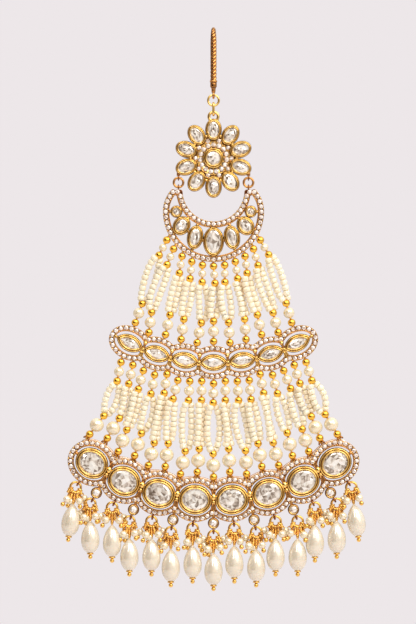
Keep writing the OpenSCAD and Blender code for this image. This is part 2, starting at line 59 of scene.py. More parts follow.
# Half widths and half heights of the marquises, of the rims' scallops and of the base's flange
MARQUISE, BAR_SCALLOP, BASE_SCALLOP = (3.98, 2.24), (5.4, 3.96), (6.25, 5.5)
FLANGE, FLANGE_END, SLOPE_LIFT = (8.85, 6.55), (7.45, 6.55), 0.5
# Side rings between flower and crescent
SIDE_X, SIDE_Y, SIDE_R = 9.8, -42.0, 1.33


# Directions and places
def aim(a):
    """Unit vector at an angle from straight down, counted to the right."""
    return np.array([sin(radians(a)), -cos(radians(a))])


def beside(a):
    """Unit vector square to aim(a); to the right where that points down."""
    return np.array([cos(radians(a)), sin(radians(a))])


def unit(v):
    return np.asarray(v) / np.linalg.norm(v)


def square(v):
    """A direction on the face turned a quarter to the left."""
    return np.array([-v[1], v[0]])


def polar(c, r, a):
    return c + r * aim(a)


def heading(p, q):
    """The angle at which aim leads from p to q."""
    return degrees(atan2(q[0] - p[0], p[1] - q[1]))


def middle_out(k, n):
    """Place of item k of n, counted from the middle of the row."""
    return k - (n + 1) / 2


def placed(points, c, turn):
    t = radians(turn)
    m = np.array([[cos(t), sin(t)], [-sin(t), cos(t)]])
    return points @ m + c


def turns(n):
    """n even steps of a full turn, in radians."""
    return np.arange(n) * 2 * pi / n


def at_depth(line, z):
    return np.column_stack([line, np.full(len(line), z)])


def run_along(path):
    """Length of a path up to each of its points."""
    return np.concatenate([[0], np.cumsum(np.linalg.norm(np.diff(path, axis=0), axis=1))])


def square_to(d, k):
    """Unit vector square to d and to axis k, or to the first axis where d is close to axis k."""
    return unit(np.cross(d, np.eye(3)[k if abs(d[k]) < 0.8 else 0]))


# Mesh code
def add_object(name, data):
    o = bpy.data.objects.new(name, data)
    bpy.context.scene.collection.objects.link(o)
    return o


class Form:
    """Collects rings of points into one mesh object in face coordinates."""

    def __init__(self):
        self.points, self.faces, self.mats, self.wear, self.smooth, self.tones = [], [], [], [], [], []
        self.n = 0

    def add(self, points, faces, mat=0, wear=0.0, smooth=True, tone=0.0):
        """The darkness value is one value or one a point and tone one value or one a face; the material reads
        their sum, which is mostly painted shade, on stones painted facet reflections, and random tone in
        places.
        """
        points = np.asarray(points, float).reshape(-1, 3)
        self.points.append(points)
        self.faces += [[i + self.n for i in f] for f in faces]
        self.mats += [mat] * len(faces)
        self.smooth += [smooth] * len(faces)
        self.tones += list(np.broadcast_to(tone, len(faces)))
        self.wear.append(np.broadcast_to(wear, len(points)))
        self.n += len(points)

    def skin(self, rings, loop=False, **kw):
        """Joins rings of points; the last is joined to the first, or both are closed by a face."""
        rings = np.asarray(rings, float)
        r, n = rings.shape[:2]
        faces = [[a * n + i, b * n + i, b * n + (i + 1) % n, a * n + (i + 1) % n]
                 for a in range(r if loop else r - 1) for b in [(a + 1) % r] for i in range(n)]
        if not loop:
            faces += [list(range(n)), [(r - 1) * n + i for i in reversed(range(n))]]
        self.add(rings.reshape(-1, 3), faces, **kw)

    def tube(self, path, radius, n=10, loop=False, **kw):
        path = np.asarray(path, float)
        ahead = np.roll(path, -1, 0) - np.roll(path, 1, 0)
        if not loop:
            ahead[0], ahead[-1] = path[1] - path[0], path[-1] - path[-2]
        rings, side = [], None
        for p, d, r in zip(path, ahead, np.broadcast_to(radius, len(path))):
            d = unit(d)
            side = square_to(d, 2) if side is None else side
            side = unit(side - d * (side @ d))
            up = np.cross(d, side)
            rings.append([p + r * (side * cos(t) + up * sin(t)) for t in turns(n)])
        self.skin(rings, loop=loop, **kw)

    def torus(self, c, big, small, axis=(0, 0, 1), n=36, m=10, **kw):
        axis = unit(axis)
        u = square_to(axis, 1)
        v = np.cross(axis, u)
        rings = []
        for t in turns(n):
            out = u * cos(t) + v * sin(t)
            rings.append([c + out * (big + small * cos(s)) + axis * small * sin(s) for s in turns(m)])
        self.skin(rings, loop=True, **kw)

    def lathe(self, c, profile, axis=(0, 1, 0), n=16, **kw):
        """profile is (radius, height) from one pole to the other."""
        axis = unit(axis)
        u = square_to(axis, 2)
        v = np.cross(axis, u)
        spokes = [u * cos(t) + v * sin(t) for t in turns(n)]
        self.skin([[c + axis * h + d * r for d in spokes] for r, h in profile], **kw)

    def ball(self, c, r, axis=(0, 1, 0), n=16, m=10, squash=1.0, **kw):
        """A ball with small flats at its poles."""
        steps = [pi * (i + 0.12 * (i == 0) - 0.12 * (i == m)) / m for i in range(m + 1)]
        self.lathe(c, [(r * sin(t), r * squash * cos(t)) for t in steps], axis, n, **kw)

    def stud(self, p, z, r, n, m, **kw):
        """A ball at depth z with its pole to the front."""
        self.ball((*p, z), r, (0, 0, 1), n, m, **kw)

    def strut(self, p, q, depths, r, n, **kw):
        """A wire from p to q, with its depth at the start, middle and end."""
        self.tube([(*v, z) for v, z in zip((p, (p + q) / 2, q), depths)], r, n, **kw)

    def band(self, outline, profile, wear, **kw):
        """Sweeps a profile of (offset, depth) round an outline; the darkness value, mostly painted shade, may
        be one value a profile point.
        """
        rings = np.stack([at_depth(outline(off), z) for off, z in profile], 1)
        self.skin(rings, loop=True, wear=np.tile(np.broadcast_to(wear, len(profile)), len(rings)), **kw)

    def plate(self, outline, low, high, **kw):
        """A flat plate with rounded edges."""
        edge = 0.08
        rings = [(-edge, low), (0, low + edge), (0, high - edge), (-edge, high)]
        self.skin([at_depth(outline(off), z) for off, z in rings], **kw)

    def object(self, name, body, materials, slot, replaces=()):
        points = np.concatenate(self.points)
        world = np.column_stack([points[:, 0], PLANE_Y - points[:, 2], points[:, 1]]) * MM
        mesh = bpy.data.meshes.new(name)
        mesh.from_pydata(world.tolist(), [], self.faces)
        mesh.polygons.foreach_set("material_index", self.mats)
        mesh.polygons.foreach_set("use_smooth", self.smooth)
        corners = np.concatenate([np.array(f) for f in self.faces])
        # Each corner's darkness: mostly painted shade, on stones painted facet reflections, random tone in
        # places
        wear = np.concatenate(self.wear)[corners] + np.repeat(self.tones, [len(f) for f in self.faces])
        worn_and_shaded = mesh.attributes.new("wear", "FLOAT", "CORNER")
        worn_and_shaded.data.foreach_set("value", wear.astype(np.float32))
        for m in materials:
            mesh.materials.append(m)
        mesh.update()
        o = add_object(name, mesh)
        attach(o, body)
        if replaces:
            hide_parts(*replaces)


# Outlines: functions of an offset that give points in order
def oval(c, l, w, turn=0, n=44):
    t = turns(n)

    def line(off):
        return placed(np.column_stack([(w / 2 + off) * np.cos(t), (l / 2 + off) * np.sin(t)]), c, turn)
    return line


def almond(c, half, turn):
    r, n = (half[0] ** 2 + half[1] ** 2) / (2 * half[1]), 22

    def line(off):
        big = r + off
        end = acos(min(1, (r - half[1]) / big))
        a = -end + 2 * end * np.arange(n) / n
        top = np.column_stack([-big * np.sin(a), big * np.cos(a) - (r - half[1])])
        return placed(np.concatenate([top, -top]), c, turn)
    return line


def meet(half, r, pitch, side):
    """How far outward of the arc neighbouring ovals of a scalloped row meet."""
    t2 = tan(radians(pitch / 2)) ** 2
    a = t2 / half[0] ** 2 + 1 / half[1] ** 2
    b, c = r * t2 / half[0] ** 2, r * r * t2 / half[0] ** 2 - 1
    return (-b + side * sqrt(b * b - a * c)) / a


def scallop(c, r, n, pitch, half, steps=16):
    """A row of ovals on an arc, cut where neighbours meet: side -1 is the edge towards the arc's centre."""
    def line(off):
        h, out = (half[0] + off, half[1] + off), []
        for side in (-1, 1):
            stop = degrees(asin(abs(meet(h, r, pitch, side)) / h[1]))
            part = []
            for k in range(1, n + 1):
                at = pitch * middle_out(k, n)
                start, end = (180 if k == 1 else 180 - stop), (0 if k == n else stop)
                for s in range(steps + (k == n)):
                    phi = radians(-side * (start + (end - start) * s / steps))
                    part.append(polar(c, r - h[1] * sin(phi), at) + h[0] * cos(phi) * beside(at))
            out += part if side == -1 else part[::-1][1:-1]
        return np.array(out)
    return line


def scallop_edge(r, n, pitch, half, angle, side):
    """Distance of a scalloped row's edge from the arc's centre at an angle."""
    k = max(1, min(n, int((angle / pitch + (n + 1) / 2 + 0.5) // 1)))
    d = radians(angle - pitch * middle_out(k, n))
    a = (sin(d) / half[0]) ** 2 + (cos(d) / half[1]) ** 2
    b, c = r * cos(d) / half[1] ** 2, r * r / half[1] ** 2 - 1
    return (b + side * sqrt(b * b - a * c)) / a


def base_edge(half, a):
    return scallop_edge(BASE_R, OVALS, BASE_PITCH, half, a, -1)


def outer_rim(off):
    """Half a circle that runs on into the crescent's tips on tighter arcs."""
    pts = []
    for a in np.linspace(-TIP_END, TIP_END, 110):
        s = 1 if a > 0 else -1
        pts.append(polar(CRESCENT, CRESCENT_R + off, a) if abs(a) <= 90
                   else polar((CRESCENT[0] + s * (CRESCENT_R - TIP_R), CRESCENT[1]), TIP_R + off, a))
    return np.array(pts)


def inner_rim(off):
    return np.array([polar(HORN, HORN_R + off, a) for a in np.linspace(-88, 88, 60)])


def stone_places(line, margin=0.0):
    """Places at the small stones' pitch, each with the line's direction; a line with a margin is open."""
    pts = line if margin else np.vstack([line, line[:1]])
    seg = np.linalg.norm(np.diff(pts, axis=0), axis=1)
    dist = np.concatenate([[0], np.cumsum(seg)])
    total = dist[-1] - 2 * margin
    count = max(1, round(total / STONE_PITCH))
    out = []
    for d in margin + total * np.arange(count + (margin > 0)) / count:
        i = min(len(seg) - 1, int(np.searchsorted(dist, d, "right")) - 1)
        f = (d - dist[i]) / seg[i]
        out.append((pts[i] * (1 - f) + pts[i + 1] * f, (pts[i + 1] - pts[i]) / seg[i]))
    return out


# Materials
def nodes_of(name):
    m = bpy.data.materials.new(name)
    m.use_nodes = True
    t = m.node_tree
    return m, t, t.nodes["Principled BSDF"]


def new(t, kind):
    return t.nodes.new("ShaderNode" + kind)


def link(t, a, b):
    t.links.new(a, b)


def put(node, **values):
    """Sets constants on a node's own sockets; an underscore stands for a space."""
    for name, value in values.items():
        node.inputs[name.replace("_", " ")].default_value = value


def place(t):
    return new(t, "TexCoord").outputs["Object"]


def noise(t, scale, detail=3.0, rough=0.55, distortion=0.0, vector=None):
    n = new(t, "TexNoise")
    put(n, Scale=scale, Detail=detail, Roughness=rough, Distortion=distortion)
    link(t, vector or place(t), n.inputs["Vector"])
    return n.outputs["Fac"]


def ramp(t, fac, stops):
    r = new(t, "ValToRGB")
    while len(r.color_ramp.elements) < len(stops):
        r.color_ramp.elements.new(0.5)
    for e, (p, c) in zip(r.color_ramp.elements, stops):
        e.position, e.color = p, (*c, 1)
    link(t, fac, r.inputs["Fac"])
    return r.outputs["Color"]


def span(t, fac, low, high):
    r = new(t, "MapRange")
    put(r, To_Min=low, To_Max=high)
    link(t, fac, r.inputs["Value"])
    return r.outputs["Result"]


def mixed(t, fac, a, b):
    m = new(t, "Mix")
    m.data_type = "RGBA"
    link(t, fac, m.inputs[0])
    for s, v in ((m.inputs[6], a), (m.inputs[7], b)):
        if isinstance(v, tuple):
            s.default_value = (*v, 1)
        else:
            link(t, v, s)
    return m.outputs[2]


def bump(t, fac, strength, distance):
    b = new(t, "Bump")
    put(b, Strength=strength, Distance=distance * MM)
    link(t, fac, b.inputs["Height"])
    return b.outputs["Normal"]


def wear_and_light_of(t):
    worn_and_shaded = new(t, "Attribute")
    worn_and_shaded.attribute_name = "wear"
    return worn_and_shaded.outputs["Fac"]


def wear_and_light_plus(t, fac):
    """The mesh's darkness value, painted shade and painted facet reflections for the most part, and another
    one, added and kept within 0 and 1.
    """
    both = new(t, "Math")
    both.operation, both.use_clamp = "ADD", True
    link(t, wear_and_light_of(t), both.inputs[0])
    link(t, fac, both.inputs[1])
    return both.outputs[0]


def metal(name, light, dark, low, high):
    """Plated metal, darker and browner where the mesh's darkness value is high, which is mostly painted shade
    in hollows and random tone in places, faintly tarnished and finely uneven.
    """
    m, t, s = nodes_of(name)
    tarnish_and_shade = span(t, noise(t, 300, 1.0), -0.14, 0.24)
    link(t, mixed(t, wear_and_light_plus(t, tarnish_and_shade), light, dark), s.inputs["Base Color"])
    link(t, span(t, noise(t, 900), low, high), s.inputs["Roughness"])
    link(t, bump(t, noise(t, 500, 1.0), 0.08, 0.1), s.inputs["Normal"])
    put(s, Metallic=1.0)
    return m


def pearl(name, stops, rough, lustre, scatter, lumps, crevice=None, ior=1.95, depth=(0.6, 0.42, 0.27)):
    """Pearl: a soft body under a layer that mirrors the room dimly, which gives the lustre."""
    m, t, s = nodes_of(name)
    colour = ramp(t, noise(t, 230, 2.0), stops)
    # Seed pearls take a tan crevice colour at their ends: painted shade between neighbours
    if crevice:
        colour = mixed(t, wear_and_light_of(t), colour, crevice)
    link(t, colour, s.inputs["Base Color"])
    link(t, span(t, noise(t, 500), rough - 0.05, rough + 0.06), s.inputs["Roughness"])
    link(t, bump(t, noise(t, 600, 2.0), lumps, 0.15), s.inputs["Normal"])
    put(s, Metallic=lustre, Coat_Weight=1.0, Coat_Roughness=0.04, Coat_IOR=ior, Sheen_Weight=0.35,
        Sheen_Tint=(1.0, 0.80, 0.42, 1), Sheen_Roughness=0.25, Subsurface_Weight=scatter,
        Subsurface_Radius=depth, Subsurface_Scale=MM)
    return m


def stone(name, stops, scale, metallic, low, high):
    """Foil-backed stone: facets from dark to bright with slanting streaks, painted reflections of the foil,
    under a clear polished surface.
    """
    m, t, s = nodes_of(name)
    slant = new(t, "Mapping")
    put(slant, Rotation=(0, radians(35), 0), Scale=(scale, scale, 0.22 * scale))
    link(t, place(t), slant.inputs["Vector"])
    streak = noise(t, 1.0, 2.0, 0.5, 0.8, slant.outputs["Vector"])
    link(t, ramp(t, wear_and_light_plus(t, span(t, streak, -0.6, 0.6)), stops), s.inputs["Base Color"])
    link(t, span(t, noise(t, 1500), low, high), s.inputs["Roughness"])
    put(s, Metallic=metallic, Coat_Weight=1.0, Coat_Roughness=0.03)
    return m


# Light and dark colour of each metal and its range of roughness; the metal turns towards the dark colour for
# painted shade in hollows and on undersides, and for random tone and faint tarnished patches
gold = metal("bright gold", (1.0, 0.69, 0.23), (0.23, 0.065, 0.012), 0.10, 0.2)
bead_gold = metal("bead gold", (1.0, 0.60, 0.085), (0.36, 0.11, 0.012), 0.07, 0.14)
copper = metal("antique rose gold", (1.0, 0.53, 0.17), (0.2, 0.055, 0.014), 0.20, 0.32)
hook_copper = metal("dark rose gold", (0.78, 0.37, 0.11), (0.055, 0.010, 0.005), 0.12, 0.22)
flange_gold = metal("peach rose gold", (1.0, 0.83, 0.67), (0.42, 0.16, 0.045), 0.32, 0.40)
wire_gold = metal("orange wire gold", (1.0, 0.63, 0.17), (0.42, 0.13, 0.02), 0.12, 0.22)
# The stones' colour ramps run from dark facets to white ones: painted reflections of the foil and the facets
polki = stone("foil backed stone", [(0.0, (0.27, 0.21, 0.16)), (0.3, (0.66, 0.57, 0.49)),
                                    (0.6, (0.95, 0.88, 0.79)), (0.9, (1.0, 0.98, 0.93))],
              2200, 0.42, 0.06, 0.16)
brilliant = stone("small white stone", [(0.0, (0.30, 0.16, 0.08)), (0.28, (0.72, 0.58, 0.48)),
                                        (0.58, (0.95, 0.88, 0.82)), (1.0, (1, 0.98, 0.95))],
                  2600, 0.4, 0.05, 0.15)
ivory = pearl("ivory pearl", [(0.0, (0.85, 0.71, 0.45)), (1.0, (0.9, 0.79, 0.57))], 0.24, 0.16, 0.2, 0.03,
              ior=2.5)
seed = pearl("seed pearl", [(0.0, (0.98, 0.76, 0.54)), (0.5, (0.99, 0.82, 0.62)), (1.0, (1.0, 0.88, 0.73))],
             0.36, 0.05, 1.0, 0.04, (1.0, 0.84, 0.60), 1.4, (1.0, 1.05, 1.1))
drop_pearl = pearl("drop pearl", [(0.0, (0.79, 0.70, 0.55)), (1.0, (0.84, 0.76, 0.62))],
                   0.2, 0.14, 0.15, 0.02)
METALS = [gold, copper, polki, brilliant]
GOLD, COPPER, POLKI, WHITE, PEACH = range(5)


# Settings and small parts
LEDGE, RIDGE_RISE, GROOVE = 0.15, 0.26, 0.66
STONE_PITCH, CLAW_R = 1.5, 0.23


def setting_profile(wall, top, low):
    """Section of a bezel: dark ledge, outer ridge, groove and raised inner lip, each point with its darkness:
    painted shade, high on the outer wall below the ridge, in the groove and down the inner wall, nil on the
    ridges' crests.
    """
    a, b = (0.36 * wall, 0.42 * wall) if wall > 0.69 else (0.38 * wall, 0.46 * wall)

    def ridge(mid, half, foot, wear):
        ts = np.linspace(0, pi, len(wear))
        return [(mid + half * cos(t), foot + RIDGE_RISE * sin(t), w) for t, w in zip(ts, wear)]

    return [(-0.1, low, 1), (LEDGE, low + 0.12, 0.8), (LEDGE, top - 1.15, 0.8), (0.03, top - 1.0, 0.9),
            (0, top - 0.7, 0.8), *ridge(-a / 2, a / 2, top - 0.55, [0.6, 0, 0, 0, 0]),
            (-a - 0.01, top - GROOVE, 0.75), (-wall + b + 0.01, top - GROOVE, 0.75),
            *ridge(-wall + b / 2, b / 2, top - 0.26, [0, 0, 0, 0, 0, 0.5]), (-wall, top - 0.5, 0.9),
            (-wall, FLOOR, 0.9)]


def bezel(form, outline, wall, top=BEZEL, low=BACK):
    p = setting_profile(wall, top, low)
    form.band(outline, [v[:2] for v in p], wear=[v[2] for v in p])
    form.plate(lambda off: outline(off - wall * 0.6), low, FLOOR + 0.02, mat=COPPER, wear=0.5)


def cut(form, outline, inset, top, facets, seed_no, lift=0.0):
    """Uncut-style stone: rings of uneven facets from the setting's edge to the middle. Each corner and face
    gets a random tone, raised by lift, that the material turns into dark and bright facets: painted
    reflections.
    """
    r = random.Random(seed_no)
    edge = outline(-inset)
    n, c = len(edge), edge.mean(0)
    askew = np.array([0.13 * (r.random() - 0.5), 0.13 * (r.random() - 0.5)])
    pts, tones, rings = [], [], []
    # Each ring's corners, reach from the middle, drop below the top, unevenness and random turn
    plan = [(2 * facets, 1.0, 0.36, 0.0, 0.0), (facets, 0.80, 0.16, 0.12, 0.4),
            (max(5, round(facets * 0.8)), 0.55, 0.08, 0.24, 0.5), (5, 0.24, 0.05, 0.22, 0.7)]
    for count, reach, drop, wobble, spin in plan:
        inside = reach < 1
        shift = spin * r.random()
        ring = []
        for i in range(count):
            f = (i + shift + (0.35 * (r.random() - 0.5) if inside else 0)) / count
            p = c + (edge[round(f * n) % n] - c) * (reach + (0.10 * (r.random() - 0.5) if inside else 0))
            ring.append(len(pts))
            tones.append(lift + (r.random() if inside else 0.7 + 0.3 * r.random()))
            pts.append((*p, min(top, top - drop + wobble * (r.random() - 0.6) + askew @ (p - c) * inside)))
        rings.append(ring)

    def angle(i):
        return atan2(pts[i][1] - c[1], pts[i][0] - c[0])

    def turned(ring, i):
        return angle(ring[i % len(ring)]) + 2 * pi * (i // len(ring))

    faces = []
    for outer, inner in zip(rings, rings[1:]):
        a, b = sorted(outer, key=angle), sorted(inner, key=angle)
        i = j = 0
        while i < len(a) or j < len(b):
            p, q = a[i % len(a)], b[j % len(b)]
            if i < len(a) and (j >= len(b) or turned(a, i) <= turned(b, j)):
                i += 1
                faces.append([p, a[i % len(a)], q])
            else:
                j += 1
                faces.append([p, b[j % len(b)], q])
    faces.append(sorted(rings[-1], key=angle))
    k, g = len(pts), sorted(rings[0], key=angle)
    low = [(pts[i][0], pts[i][1], FLOOR + 0.1) for i in g]
    m = len(g)
    faces += [[g[(i + 1) % m], g[i], k + i, k + (i + 1) % m] for i in range(m)]
    # Painted facet reflections: a random tone for each face, added to the corners' tones
    flat = [1.1 * (r.random() - 0.54) for _ in faces]
    wear = [0.6 * v + 0.2 for v in tones] + [0.5] * m
    form.add(pts + low, faces, mat=POLKI, smooth=False, wear=wear, tone=flat)


def small_stone(form, p, r, z):
    """Round stone with a table, eight main facets and eight narrow ones at its edge; the tones of its corners
    and faces are painted reflections, in a petal pattern on the larger ones.
    """
    ts = (np.arange(8) + rng.random()) * pi / 4

    def ring(size, shift, high, wobble=0.0):
        return [(p[0] + size * r * cos(t + shift), p[1] + size * r * sin(t + shift),
                 z + high * r + wobble * (rng.random() - 0.5)) for t in ts]
    pts = ring(1, 0, 0) + ring(0.74, pi / 8, 0.30, 0.1) + ring(0.42, 0, 0.46, 0.05) + ring(0.92, 0, -0.5)
    faces = []
    for i in range(8):
        j = (i + 1) % 8
        faces += [[i, j, 8 + i], [j, 8 + j, 8 + i], [8 + i, 8 + j, 16 + j], [8 + i, 16 + j, 16 + i],
                  [j, i, 24 + i, 24 + j]]
    faces.append([16 + i for i in range(8)])
    # Painted facet reflections: tones of the edge and inner corners, in a petal pattern on the larger stones
    edge, inner = 0.75, [0.1 + 0.9 * rng.random() for _ in range(16)]
    if r > 1:
        edge, inner = 0.8, [0.15, 0.9] * 4 + [0.85, 0.1, 0.6, 1.0] * 2
    flat = [0.5 * (rng.random() - 0.5) for _ in faces]
    form.add(pts, faces, mat=WHITE, smooth=False, wear=[edge] * 8 + inner + [0.5] * 8, tone=flat)


def stone_row(form, places, r=0.67, z=0.24, side=0.6):
    """Small stones along a rim with a pair of claws between each two."""
    for i, (p, d) in enumerate(places):
        small_stone(form, p, r * (0.97 + 0.05 * rng.random()), z)
        q, e = places[(i + 1) % len(places)]
        if np.linalg.norm(q - p) > 3 * r:
            continue
        m, across = (p + q) / 2, square(d + e)
        across = across / max(1e-6, np.linalg.norm(across))
        for s in (-1, 1):
            form.stud(m + s * across * side, z + 0.1, CLAW_R, 8, 5, wear=0.4 * rng.random())


# Section of a rim, and the darkness of each of its points: painted shade on its sides and on its floor
# between the stones, half as much on its raised edges and a little less on its back
RIM_SECTION = [(-0.66, BACK), (0.66, BACK), (0.75, BACK + 0.1), (0.75, 0.1), (0.71, 0.22), (0.62, 0.2),
               (0.55, 0.05), (-0.55, 0.05), (-0.62, 0.2), (-0.71, 0.22), (-0.75, 0.1), (-0.75, BACK + 0.1)]
RIM_SHADE = [0.4, 0.4, 0.8, 1, 0.5, 0.5, 0.9, 0.9, 0.5, 0.5, 1, 0.8]


def rim(form, outline, wire_at, wire_r, wear, closed=True):
    """A flat rim with raised edges and a wire along one of them; the ends of an open one are rounded off."""
    if closed:
        form.band(outline, RIM_SECTION, wear=RIM_SHADE, mat=COPPER)
    else:
        lines = np.array([outline(off) for off, _ in RIM_SECTION])
        mid = outline(0)
        heads, steps = [], (0.98, 0.85, 0.6, 0.3, 0.0)
        for near, far, order in ((0, 1, steps), (-1, -2, steps[::-1])):
            way = unit(mid[near] - mid[far])
            heads.append([mid[near] + way * 0.62 * f + (lines[:, near] - mid[near]) * sqrt(1 - f * f)
                          for f in order])
        rings = heads[0] + [lines[:, i] for i in range(1, len(mid) - 1)] + heads[1]
        depth = np.array([z for _, z in RIM_SECTION])
        form.skin([np.column_stack([ring, depth]) for ring in rings], mat=COPPER,
                  wear=np.tile(RIM_SHADE, len(rings)))
    form.tube(at_depth(outline(wire_at), 0.16), wire_r, 8, closed, mat=COPPER, wear=wear)


def eye(form, c, big=0.65, small=0.2, turn=0.0, wear=0.8):
    """A small loop that stands out from the metal."""
    form.torus((*c, 0), big, small, (*beside(turn), 0), 20, 8, mat=COPPER, wear=wear)


def post(form, c, a, r0, r1, width, high, wear=0.4):
    """A flat strut along a radius."""
    side = beside(a) * width / 2
    p, q = polar(c, r0, a), polar(c, r1, a)
    ring = [p - side, p + side, q + side, q - side]
    mid = (p + q) / 2
    form.skin([[(*v, BACK + 0.05) for v in ring], [(*v, high - 0.1) for v in ring],
               [(*((v - mid) * 0.86 + mid), high) for v in ring]], mat=COPPER, wear=wear, smooth=False)


# Hook and links
ROPE_STRANDS, ROPE_OFF, ROPE_R, ROPE_LAY = 3, 0.45, 0.44, 3.1
# Radius, height and darkness of the cuff and neck below the rope; the darkness is painted shade in its
# grooves and at its foot
CUFF = [(0.3, -13.35, 0), (0.98, -13.4, 0), (1.04, -13.55, 0), (1.04, -13.85, 0), (0.96, -14.0, 0.6),
        (0.86, -14.05, 1), (0.92, -14.2, 0.5), (0.93, -15.1, 0.3), (0.86, -15.35, 0.6), (0.7, -15.45, 0.9),
        (0.62, -15.8, 0.1), (0.58, -16.4, 0.1), (0.5, -16.9, 0.6), (0.3, -17.0, 0.7)]


def hook():
    f = Form()
    gap, bend, low, tail = -PLANE_Y, -2.5, -13.45, -9.0
    path = [(-gap, z) for z in np.linspace(low, bend, 60)]
    path += [(-gap * cos(t), bend + gap * sin(t)) for t in np.linspace(0, pi, 56)[1:-1]]
    path += [(gap, z) for z in np.linspace(bend, tail, 34)]
    path = np.array(path)
    run = run_along(path)
    dense = np.linspace(0, run[-1], int(run[-1] * 7))
    mid = np.column_stack([np.interp(dense, run, v) for v in path.T])
    core = np.column_stack([0 * dense, mid[:, 1], -(mid[:, 0] + gap)])
    way = np.gradient(mid, axis=0)
    way /= np.linalg.norm(way, axis=1)[:, None]
    across = np.column_stack([-way[:, 1], way[:, 0]])
    for s in range(ROPE_STRANDS):
        t = dense * 2 * pi / ROPE_LAY + s * 2 * pi / ROPE_STRANDS
        line = mid + ROPE_OFF * np.cos(t)[:, None] * across
        f.tube(np.column_stack([ROPE_OFF * np.sin(t), line[:, 1], -(line[:, 0] + gap)]), ROPE_R)
        points = f.points[-1]
        # Painted shade: dark between the strands and on the left side, and a little narrower towards the bend
        deep = np.linalg.norm(points.reshape(len(dense), -1, 3) - core[:, None], axis=2).ravel()
        tarnish_and_shade = 0.55 * np.clip(0.2 - points[:, 0] / 0.7, 0, 1)
        f.wear[-1] = np.clip(1.3 - (deep - 0.35) / 0.42, 0.1, 1) + tarnish_and_shade
        points[:, 0] *= 1 - 0.35 * np.clip((points[:, 1] + 2.2) / 4, 0, 1) ** 1.5
    f.ball((0, tail - 0.05, 2 * PLANE_Y), 0.88, wear=0.2)
    f.lathe((0, 0, 0), [v[:2] for v in CUFF], n=24, wear=np.repeat([v[2] for v in CUFF], 24))
    f.torus((0, -17.5, 0), 0.8, 0.33, (1, 0, 0), 24, wear=0.3)
    f.object("hook_rope", "hook", [hook_copper], "antique_gold", ["hook"])


def links():
    f = Form()
    f.torus((0, -19.0, 0), 1.5, 0.32, n=40, m=12, wear=0.05)
    f.object("jump_ring_wire", "jump_ring", [gold], "gold", ["jump_ring"])
    f = Form()
    path = [(0, y + 0.8 * sin(a), 0.8 * cos(a)) for y, start in ((-20.6, 0), (-22.3, pi))
            for a in np.linspace(start, start + pi, 16)]
    f.tube(path, 0.38, loop=True)
    f.object("top_link_wire", "pendant", [gold], "gold", ["top_link"])
    for side, name in ((-1, "side_ring_left"), (1, "side_ring_right")):
        f = Form()
        f.torus((side * SIDE_X, SIDE_Y, 0), SIDE_R, 0.33, m=12, wear=0.35)
        f.object(name + "_wire", "crescent", [copper], "antique_gold", [name])


# Flower
PETAL_AT, PETAL, CENTRE_D = 8.0, (5.9, 4.4), 5.6
RING_R, RING_STONES = 3.72, 15


def flower():
    f = Form()
    f.plate(oval(FLOWER, 12.6, 12.6, n=48), BACK + 0.06, -0.1, wear=0.15)
    f.band(oval(FLOWER, 9.6, 9.6, n=60), [(-1.7, -0.6), (0, -0.6), (0, 0.2), (-0.1, 0.32), (-0.22, 0.2),
                                          (-1.5, 0.2), (-1.7, 0.1)], wear=0.3)
    for k in range(PETALS):
        a = 180 + 360 * k / PETALS
        line = oval(polar(FLOWER, PETAL_AT, a), *PETAL, a - 180)
        bezel(f, line, 0.65)
        cut(f, line, 0.6, BEZEL - 0.12, 8, 20 + k)
    line = oval(FLOWER, CENTRE_D, CENTRE_D, n=48)
    bezel(f, line, 0.85, BEZEL + 0.25, BACK + 0.3)
    cut(f, line, 0.8, BEZEL + 0.12, 10, 5)
    ring = [polar(FLOWER, RING_R, 360 * (i + 0.5) / RING_STONES) for i in range(RING_STONES)]
    places = [(p, square(p - FLOWER) / RING_R) for p in ring]
    stone_row(f, places, r=0.73, z=0.52, side=0.68)
    between = [360 * (i + 0.5) / PETALS for i in range(PETALS)]
    for a in between:
        small_stone(f, polar(FLOWER, 5.05, a), 0.62, 0.45)
        for s in (-1, 1):
            f.stud(polar(FLOWER, 5.75, a + s * 5), 0.5, 0.24, 8, 5, wear=0.3)
    for a in between:
        f.stud(polar(FLOWER, 6.5, a), 0.35, 0.48, 12, 8)
    f.torus((0, -23.58, 0), 1.3, 0.42, m=12, wear=0.1)
    for side in (-1, 1):
        eye(f, (side * SIDE_X, SIDE_Y + SIDE_R))
        f.lathe((side * SIDE_X, 0, 0), [(0.2, -40.2), (0.5, -40.1), (0.5, -39.2), (0.2, -39.1)], n=12,
                mat=COPPER, wear=0.7)
    f.object("flower_settings", "pendant", METALS, "gold", ["flower_frame", "flower_stones"])


# Crescent
# x and y from its centre, width, height and lean of each bezel of the right half, and x and y of its solder
CRESCENT_BEZELS = [(10.4, -0.05, 3.15, 3.15, 0), (8.95, -4, 4.5, 5.4, 35), (5.15, -7.25, 4.3, 6.5, 12)]
SOLDER = [(2.87, -8.1), (4.5, -3.85), (5.95, -10.65), (7.05, -5.65), (7.1, -1.97), (11.25, -5.05),
          (12.15, -0.05), (9.75, -1.8)]


